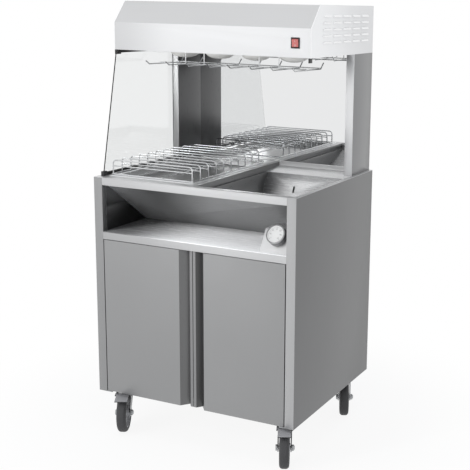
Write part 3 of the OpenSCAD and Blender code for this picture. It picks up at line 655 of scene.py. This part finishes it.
def make_tyre():
    ring = start("cylinder", "tyre", vertices=96, radius=wheel_r, depth=tyre_w)
    pick_edges(ring, lambda a, b: abs(a.z - b.z) < 1e-6)
    bpy.ops.mesh.bevel(offset=0.0100, segments=6, profile=0.5)
    pick_faces(ring, lambda c, n: abs(n.z) > 0.9 and near_axle(c))
    bpy.ops.mesh.inset(thickness=0.0045)
    bpy.ops.mesh.delete(type="FACE")
    pick_edges(ring, lambda a, b: near_axle(a, tyre_inner_r) and near_axle(b, tyre_inner_r))
    bpy.ops.mesh.bridge_edge_loops()
    leave_edit(ring, 40)
    return ring


tyre = make_tyre()
print("tyre faces:", len(tyre.data.polygons), [round(v, 4) for v in tyre.dimensions])

# %% [markdown]
# The hub is a grey moulding: a rim under the tyre, a thin web with ribs, and a
# barrel round the axle. The web is made by pressing the middle of a cylinder's
# faces inwards, and the ribs are one small block, turned round the barrel.

# %% Shape the hub
hub_r, hub_w = 0.0481, 0.0272
web_in, barrel_out = 0.0085, 0.0120
rib_at, rib_size = (0.0275, 0.0071), (0.031, 0.0026, 0.0050)


def middle_faces(hub, side):
    pick_faces(hub, lambda c, n: n.z * side > 0.9 and near_axle(c))


def make_hub():
    hub = start("cylinder", "hub", vertices=96, radius=hub_r, depth=hub_w)
    pick_faces(hub, lambda c, n: abs(n.z) > 0.9)
    bpy.ops.mesh.inset(thickness=0.0035)
    bpy.ops.mesh.inset(thickness=0.0025)
    for side in (1, -1):
        middle_faces(hub, side)
        bpy.ops.transform.translate(value=(0, 0, -side * web_in))
    pick_faces(hub, lambda c, n: abs(n.z) > 0.9 and near_axle(c))
    bpy.ops.mesh.inset(thickness=0.0281)
    for side in (1, -1):
        middle_faces(hub, side)
        bpy.ops.mesh.extrude_region_move(
            TRANSFORM_OT_translate={"value": (0, 0, side * barrel_out)})
    leave_edit(hub)
    rounded(hub, 0.0008, 2, 50)
    parts = [hub]
    for i in range(6):
        for side in (-1, 1):
            rib = start("cube", "rib", size=1)
            rib.data.transform(Matrix.Translation((rib_at[0], 0, side * rib_at[1]))
                               @ Matrix.Diagonal((*rib_size, 1)))
            pick_edges(rib, lambda a, b: abs(a.x - b.x) > 0.02)
            bpy.ops.mesh.bevel(offset=0.0007, segments=2)
            leave_edit(rib)
            rib.data.transform(Matrix.Rotation(math.radians(60 * i + 12), 4, "Z"))
            parts.append(rib)
    return joined(parts, "hub")


hub = make_hub()
print("hub faces:", len(hub.data.polygons), [round(v, 4) for v in hub.dimensions])

# %% [markdown]
# Each corner gets its own copy of the wheel. The copy is moved in its mesh, so
# that its object stays at the origin and its finish can't slide.

# %% Fit the wheels
for corner in ("fl", "fr", "rl", "rr"):
    for master, kind, paint in ((tyre, "tyre", rubber), (hub, "hub", hub_plastic)):
        piece = copy_of(master, kind + "_" + corner + "_round")
        placed(piece, castor_frame[corner] @ wheel_mid)
        dress(piece, paint)
        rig.ride(piece, "wheel_" + corner)
        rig.replaces(piece, kind + "_" + corner)
        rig.slot(piece, "tyre_grey" if kind == "tyre" else "hub_plastic")
for master in (tyre, hub):
    bpy.data.objects.remove(master)
print("wheels fitted at", list(castor_frame))

# %% [markdown]
# ## Sheets
# A folded sheet never has a knife edge: each fold and each cut catches a thin
# line of light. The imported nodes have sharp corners, so a merged copy of each
# sheet gets a narrow bevel and stands in for its node. Points that the bevel
# pushes out are drawn back to the node's box. Modelling every sheet again would
# only risk moving it.

# %% Ease the edges of the sheets
body_of_node = {}
for body, names in frame["record"]["behaviour"]["bodies"].items():
    for name in names:
        body_of_node[name] = body
slot_of_node = {s["node"]: s["material_slot"] for s in frame["record"]["subparts"]}


def eased(name, width, segments=2, angle=28):
    piece = copy_of(nodes[name], name + "_eased")
    piece.parent = None
    piece.hide_viewport = False
    deselect()
    piece.select_set(True)
    bpy.context.view_layer.objects.active = piece
    bpy.ops.object.mode_set(mode="EDIT")
    bpy.ops.mesh.select_all(action="SELECT")
    bpy.ops.mesh.remove_doubles(threshold=0.00002)
    bpy.ops.mesh.dissolve_limited(angle_limit=math.radians(1))
    bpy.ops.object.mode_set(mode="OBJECT")
    rounded(piece, width, segments, angle)
    lo, hi = low(name), high(name)
    for v in piece.data.vertices:
        v.co = [min(max(v.co[i], lo[i]), hi[i]) for i in range(3)]
    dress(piece, finish_of[name])
    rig.ride(piece, body_of_node[name])
    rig.replaces(piece, name)
    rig.slot(piece, slot_of_node[name])
    return piece


def patch(piece, paint, rule):
    piece.data.materials.append(paint)
    slot_index = len(piece.data.materials) - 1
    hits = [f for f in piece.data.polygons if rule(f.center, f.normal)]
    for face in hits:
        face.material_index = slot_index
    print(piece.name, "patched", len(hits), "of", len(piece.data.polygons))


sheets = {}
for name in ("hood_shell", "left_side_panel", "right_side_panel", "top_rail", "mid_rail",
             "left_column", "right_column", "control_box", "left_door_skin", "right_door_skin",
             "chip_bin", "shelf_liner", "mid_shelf", "top_deck", "rack_tray"):
    sheets[name] = eased(name, 0.0005)
print("sheets eased:", len(sheets))

# %% [markdown]
# Each face of a sheet gets a lighter or darker run of the same steel by how
# light falls on it: painted light and shade. The hood's upward slope, the door
# grips and lips, the column sides and inner faces, the shelf's end walls and the
# well walls of the bin and deck get painted shade, and so do the front edges of
# the left side panel and left column, darker than on the right. The tops of the
# side panels, the tray's rim and a strip at the back of the deck get a painted
# highlight.

# %% Tone the faces by where they look
patch(sheets["hood_shell"], steel["slope"], lambda c, n: n.y < -0.3 and n.z > 0.3)
for side in ("left", "right"):
    patch(sheets[side + "_side_panel"], steel["door" if side == "left" else "stile"],
          lambda c, n: c.y < front_y + 0.0012 and n.y < -0.5)
    patch(sheets[side + "_side_panel"], steel["rail"],
          lambda c, n: c.z > deck_z - 0.001 and n.z > 0.5)
    patch(sheets[side + "_column"], steel["column_side_shade"], lambda c, n: abs(n.x) > 0.7)
    patch(sheets[side + "_door_skin"], steel["grip" if side == "left" else "grip_right"],
          lambda c, n: abs(c.x) < 0.0445 and c.y > front_y + 0.001 and abs(n.z) < 0.5)
    patch(sheets[side + "_door_skin"], steel["lip"],
          lambda c, n: abs(c.x) < 0.012 and c.y < front_y + 0.02 and n.y < -0.5)
patch(sheets["left_column"], steel["column_in_shade"], lambda c, n: n.x > 0.7)
patch(sheets["right_column"], steel["column_in_shade"], lambda c, n: n.x < -0.7)
patch(sheets["shelf_liner"], steel["end_shade"], lambda c, n: abs(n.x) > 0.7)
patch(sheets["chip_bin"], steel["well"], lambda c, n: abs(n.x) > 0.7)
patch(sheets["top_deck"], steel["well"], lambda c, n: abs(n.x) > 0.7 and c.z < deck_z - 0.001)
patch(sheets["rack_tray"], steel["rim"], lambda c, n: c.z > deck_z + 0.0005)
patch(sheets["top_deck"], steel["louvre"],
      lambda c, n: n.z > 0.5 and c.x > 0.01 and c.y > front_y + 0.43)
patch(sheets["left_column"], steel["stile"], lambda c, n: n.y < -0.7)

# %% [markdown]
# The clip under the hood's right front corner is only a thin black tab. The
# merged copy of the clips is squeezed there, which leaves the others alone.

# %% Thin the upper right clip
clips = eased("glass_clips", 0.0003)
tab = [v for v in clips.data.vertices if v.co.x > 0.1 and v.co.z > deck_z + 0.2]
if tab:
    tab_mid = (min(v.co.x for v in tab) + max(v.co.x for v in tab)) / 2
    for v in tab:
        v.co.x = tab_mid + (v.co.x - tab_mid) * 0.4
print("clip points moved:", len(tab))

# %% [markdown]
# A vent louvre is pushed out of the cheek as a soft blister, open only below,
# so it has no open ends and catches light along its middle. Its steel is a
# lighter copy of the cheek's, as a painted highlight. One block is rounded,
# halved and copied over each packed lip on both cheeks.

# %% Press the vent louvres
blister = start("cube", "blister", size=1)
blister.data.transform(Matrix.Diagonal((0.0094, 0.054, 0.0130, 1)))
pick_edges(blister, lambda a, b: True)
bpy.ops.mesh.bevel(offset=0.0044, segments=4)
bpy.ops.mesh.select_all(action="SELECT")
bpy.ops.mesh.bisect(plane_co=(0, 0, -0.0002), plane_no=(0, 0, 1), clear_inner=True)
leave_edit(blister, 60)
hood_foot = low("right_cheek").z
first_y, louvre_py = hood_front + 0.107, 0.071
first_z, louvre_pz = hood_foot + 0.039, 0.019
for side, name in ((1, "right"), (-1, "left")):
    lips = []
    for row in range(5):
        for column in range(5):
            lip = copy_of(blister, "lip")
            placed(lip, Matrix.Translation((side * high("right_column").x,
                                            first_y + column * louvre_py,
                                            first_z + row * louvre_pz)))
            lips.append(lip)
    louvres = joined(lips, name + "_louvres")
    dress(louvres, steel["louvre"])
    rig.ride(louvres, "cabinet")
    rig.slot(louvres, slot_of_node["right_cheek"])
    print(louvres.name, [round(v, 4) for v in louvres.dimensions])
bpy.data.objects.remove(blister)

# %% [markdown]
# The fork is pressed zinc plate, so its edges are rounder than a cut sheet's.
# The same easing is used with a wider bevel, also on the axle bolts, the
# castor plates and the two brake pedals. A pedal is pale only on top; its
# sides and underside get painted shade, and the front forks' heads behind
# the pedals get a painted shadow, as they lie in the dark under the counter.

# %% Ease the castor metal
for corner in ("fl", "fr", "rl", "rr"):
    fork = eased("fork_" + corner, 0.0009, 3)
    if corner in ("fl", "fr"):
        patch(fork, painted_shade_metal, lambda c, n: c.z > 0.098)
    eased("axle_" + corner, 0.0006, 2)
for corner in ("fl", "fr"):
    patch(eased("pedal_" + corner, 0.0007, 2), painted_shade_metal, lambda c, n: n.z < 0.2)
eased("castor_plates", 0.0006, 2)
print("castor metal eased")

# %% [markdown]
# ## Heat lamps
# A reflector lamp is a turned form: a nearly flat lens, a round shoulder and a
# silvered neck. One circle is extruded and resized ring by ring, as on a
# lathe. The lens is frosted and the bowl behind it is silver.

# %% Turn the lamps
def turned(name, profile, sides=64):
    radius, level = profile[0]
    piece = start("circle", name, vertices=sides, radius=radius,
                  location=(0, 0, level), fill_type="NGON")
    bpy.ops.object.mode_set(mode="EDIT")
    bpy.ops.mesh.select_all(action="SELECT")
    for new_radius, new_level in profile[1:]:
        bpy.ops.mesh.extrude_region_move(
            TRANSFORM_OT_translate={"value": (0, 0, new_level - level)})
        factor = new_radius / radius
        bpy.ops.transform.resize(value=(factor, factor, 1))
        radius, level = new_radius, new_level
    leave_edit(piece, 30)
    return piece


lamp_lo, lamp_hi = low("heat_lamps"), high("heat_lamps")
lamp_y = (lamp_lo.y + lamp_hi.y) / 2
lens_r, lens_h, lamp_pitch = 0.0475, 0.020, 0.130
lens = [(lens_r * math.sin(a), lens_h - lens_h * math.cos(a)) for a in
        [math.radians(d) for d in (4, 16, 28, 40, 52, 64, 76, 88)]]
lens = [(r * 0.97, z) for r, z in lens]
bowl = [(0.0462, 0.021), (0.0472, 0.024), (0.0470, 0.029), (0.0455, 0.036), (0.0425, 0.044),
        (0.0380, 0.053), (0.0325, 0.062), (0.0270, 0.071), (0.0222, 0.078), (0.0182, 0.085),
        (0.0150, 0.0905), (0.0133, 0.092), (0.0133, 0.130)]
bowl_master = turned("bowl", bowl)
lens_master = turned("lens", lens)
lamp_centres = [lamp_lo.x + 0.0474 + i * lamp_pitch for i in range(4)]
bowl_silver = moulded("bowl_silver", (0.62, 0.62, 0.62), 0.22, 0.02, 40, 0.85)
for i, x in enumerate(lamp_centres):
    for master, kind, paint in ((bowl_master, "bowl", bowl_silver),
                                (lens_master, "lens", lamp_glass)):
        piece = copy_of(master, "lamp_%d_%s" % (i + 1, kind))
        placed(piece, Matrix.Translation((x, lamp_y, lamp_lo.z)))
        dress(piece, paint)
        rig.ride(piece, "cabinet")
        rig.replaces(piece, "heat_lamps")
        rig.slot(piece, "lamp_glass")
for master in (bowl_master, lens_master):
    bpy.data.objects.remove(master)
print("lamps at x", [round(x, 3) for x in lamp_centres])

# %% [markdown]
# ## Temperature dial
# The dial's drum is grey, as painted shade on its side, with a white face inside
# a raised white ring. Fine marks and plain numbers run round the face. It is
# turned lying flat and then tipped onto the sloped panel, with the same tilt as
# the imported knob.

# %% Build the dial
panel_tilt = math.radians(58)
face_lo, face_hi = low("dial_face"), high("dial_face")
face_mid = (face_lo + face_hi) / 2
on_dial = Matrix.Translation(face_mid) @ Matrix.Rotation(panel_tilt, 4, "X")


def dial_piece(piece, name, paint, slot="white_plastic"):
    piece.name = name
    placed(piece, on_dial)
    dress(piece, paint)
    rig.ride(piece, "dial")
    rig.slot(piece, slot)


ring = turned("ring", [(0.0256, -0.0008), (0.0292, -0.0008), (0.0297, 0.0004), (0.0297, 0.0016),
                       (0.0290, 0.0022), (0.0270, 0.0022), (0.0256, 0.0010), (0.0240, 0.0002)])
dial_piece(ring, "dial_cap", white_plastic)
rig.replaces(ring, "dial_face")
first_mark, mark_at, number_at = 225, 0.0212, 0.0158
for i in range(31):
    angle = math.radians(first_mark - i * 9)
    long_mark = i % 5 == 0
    mark = start("cube", "mark", size=1)
    length, width = (0.0034, 0.0007) if long_mark else (0.0020, 0.0004)
    mark.data.transform(Matrix.Diagonal((length, width, 0.0003, 1)))
    pick_edges(mark, lambda a, b: abs(a.z - b.z) > 1e-5)
    bpy.ops.mesh.bevel(offset=0.0001, segments=1)
    leave_edit(mark)
    mark.data.transform(Matrix.Rotation(angle, 4, "Z")
                        @ Matrix.Translation((mark_at, 0, 0.0004)))
    dial_piece(mark, "dial_mark_%02d" % i, ink, "black_plastic")
for i, number in enumerate(("0", "30", "45", "60", "75", "90", "95")):
    angle = math.radians(first_mark - i * 45)
    deselect()
    bpy.ops.object.text_add()
    word = bpy.context.object
    word.data.body = number
    word.data.size = 0.0052
    word.data.extrude = 0.00012
    word.data.align_x, word.data.align_y = "CENTER", "CENTER"
    bpy.ops.object.convert(target="MESH")
    word = bpy.context.object
    word.data.transform(Matrix.Translation((number_at * math.cos(angle),
                                            number_at * math.sin(angle), 0.0004)))
    dial_piece(word, "dial_number_%d" % i, ink, "black_plastic")
print("dial built on", [round(v, 4) for v in face_mid])

# %% [markdown]
# ## Rocker switch
# The mains switch is a black bezel round a red rocker that glows when it is
# on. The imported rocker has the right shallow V, so its edges are only eased.
# A plain line and ring for on and off are set on its two faces.

# %% Build the rocker
eased("switch_body", 0.0007, 3)
eased("rocker", 0.0005, 3)
bezel_lo, bezel_hi = low("switch_body"), high("switch_body")
bezel_mid = (bezel_lo + bezel_hi) / 2
pivot = Vector((bezel_mid.x, hood_front + 0.004, bezel_mid.z))
rocker_rest, rocker_fold = 7, 12
line = start("cube", "switch_line", size=1)
line.data.transform(Matrix.Diagonal((0.0010, 0.0004, 0.0050, 1)))
pick_edges(line, lambda a, b: True)
bpy.ops.mesh.bevel(offset=0.0001, segments=1)
leave_edit(line)
ring = start("torus", "switch_ring", major_radius=0.0023, minor_radius=0.0004,
             major_segments=32, minor_segments=8)
ring.data.transform(Matrix.Rotation(math.radians(90), 4, "X"))
for mark, side in ((line, 1), (ring, -1)):
    placed(mark, Matrix.Translation(pivot)
           @ Matrix.Rotation(math.radians(rocker_rest), 4, "X")
           @ Matrix.Translation((0, -0.00785, side * 0.0060))
           @ Matrix.Rotation(math.radians(side * rocker_fold), 4, "X"))
    dress(mark, white_plastic)
    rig.ride(mark, "switch_rocker")
    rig.slot(mark, "white_plastic")
print("switch pivot at", [round(v, 4) for v in pivot])

# %% [markdown]
# Last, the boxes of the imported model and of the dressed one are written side
# by side, so that nothing added here makes the counter grow.

# %% Write the sizes and finish
json.dump({"cad_box": cad_box, "visual_box": [[float(v) for v in corner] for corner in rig.bounds()]},
          open("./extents.json", "w"), indent=1)
print(open("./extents.json").read())
